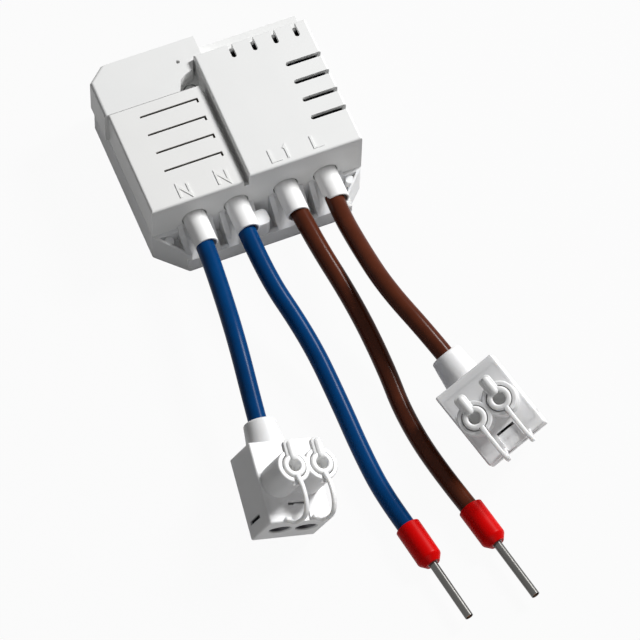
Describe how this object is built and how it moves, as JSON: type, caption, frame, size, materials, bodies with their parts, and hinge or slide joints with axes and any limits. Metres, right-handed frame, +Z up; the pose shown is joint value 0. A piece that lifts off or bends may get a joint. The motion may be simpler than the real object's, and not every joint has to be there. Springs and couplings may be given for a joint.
{
  "type": "wireless power switch",
  "caption": "Flat flush-box radio switch module with louvred cover and flying leads that end in ferrules and push-in connectors.",
  "frame": {"origin": "middle of the underside of the case", "axes": "+Z up out of the case's louvred face, -Y the way the leads leave the case, +X to the line lead's side"},
  "size_m": [0.0635, 0.1352, 0.0231],
  "materials": {
    "case_white": "satin moulded",
    "panel_white": "satin moulded",
    "sleeve_white": "satin moulded",
    "connector_white": "satin moulded",
    "button_white": "satin moulded",
    "strap_white": "satin moulded",
    "lead_blue": "gloss insulation",
    "lead_brown": "gloss insulation",
    "collar_red": "gloss",
    "tin": "tin plated",
    "copper": "bare copper",
    "board_green": "solder mask",
    "part_black": "moulded",
    "film_yellow": "moulded",
    "tape_yellow": "wound tape",
    "ferrite": "sintered",
    "can_aluminium": "printed sleeve",
    "varistor_blue": "dipped",
    "resistor_sand": "lacquered",
    "shield_tin": "tinned",
    "spring_steel": "bright",
    "learn_black": "moulded",
    "led_clear": "clear",
    "screw_steel": "zinc plated"
  },
  "bodies": {
    "switch": {"base_shell": "case_white", "cover_shell": "case_white", "louvre_panel": "panel_white", "lead_sleeve_1": "sleeve_white", "lead_sleeve_2": "sleeve_white", "lead_sleeve_3": "sleeve_white", "lead_sleeve_4": "sleeve_white", "circuit_board": "board_green", "board_screws": "screw_steel", "component_pins": "tin", "relay_case": "part_black", "film_capacitor": "film_yellow", "transformer_core": "ferrite", "transformer_winding": "tape_yellow", "transformer_foot": "part_black", "can_capacitor": "can_aluminium", "varistor": "varistor_blue", "radio_board": "board_green", "radio_header": "part_black", "radio_shield": "shield_tin", "antenna_wire": "copper", "fuse_resistor": "resistor_sand", "control_chip": "part_black", "status_led": "led_clear", "lead_terminals": "tin", "learn_switch": "learn_black", "neutral_lead_short": "lead_blue", "neutral_lead_long": "lead_blue", "switched_lead_long": "lead_brown", "line_lead_short": "lead_brown", "neutral_ferrule_collar": "collar_red", "neutral_ferrule_barrel": "tin", "switched_ferrule_collar": "collar_red", "switched_ferrule_barrel": "tin", "strand_ends": "copper", "left_connector_housing": "connector_white", "left_connector_cap": "connector_white", "left_connector_contact_bar": "copper", "left_connector_clamp_springs": "spring_steel", "left_connector_strap_a": "strap_white", "left_connector_strap_b": "strap_white", "right_connector_housing": "connector_white", "right_connector_cap": "connector_white", "right_connector_contact_bar": "copper", "right_connector_clamp_springs": "spring_steel", "right_connector_strap_a": "strap_white", "right_connector_strap_b": "strap_white"},
    "learn_button": {"learn_button": "button_white"},
    "left_release_a": {"left_connector_release_a": "button_white"},
    "left_release_b": {"left_connector_release_b": "button_white"},
    "right_release_a": {"right_connector_release_a": "button_white"},
    "right_release_b": {"right_connector_release_b": "button_white"}
  },
  "joints": [
    {"name": "learn_press", "type": "slide", "parent": "switch", "child": "learn_button", "axis": [0, 0, -1], "range_m": [0, 0.0004], "stiffness_N_per_m": 1500, "springref_m": -0.0004},
    {"name": "left_release_a_press", "type": "slide", "parent": "switch", "child": "left_release_a", "axis": [-0.3557, 0.1923, -0.9146], "range_m": [0, 0.0016], "stiffness_N_per_m": 1500, "springref_m": -0.0008, "deforming": ["left_connector_strap_a"]},
    {"name": "left_release_b_press", "type": "slide", "parent": "switch", "child": "left_release_b", "axis": [-0.3557, 0.1923, -0.9146], "range_m": [0, 0.0016], "stiffness_N_per_m": 1500, "springref_m": -0.0008, "deforming": ["left_connector_strap_b"]},
    {"name": "right_release_a_press", "type": "slide", "parent": "switch", "child": "right_release_a", "axis": [0.2857, 0.3536, -0.8907], "range_m": [0, 0.0016], "stiffness_N_per_m": 1500, "springref_m": -0.0008, "deforming": ["right_connector_strap_a"]},
    {"name": "right_release_b_press", "type": "slide", "parent": "switch", "child": "right_release_b", "axis": [0.2857, 0.3536, -0.8907], "range_m": [0, 0.0016], "stiffness_N_per_m": 1500, "springref_m": -0.0008, "deforming": ["right_connector_strap_b"]}
  ]
}
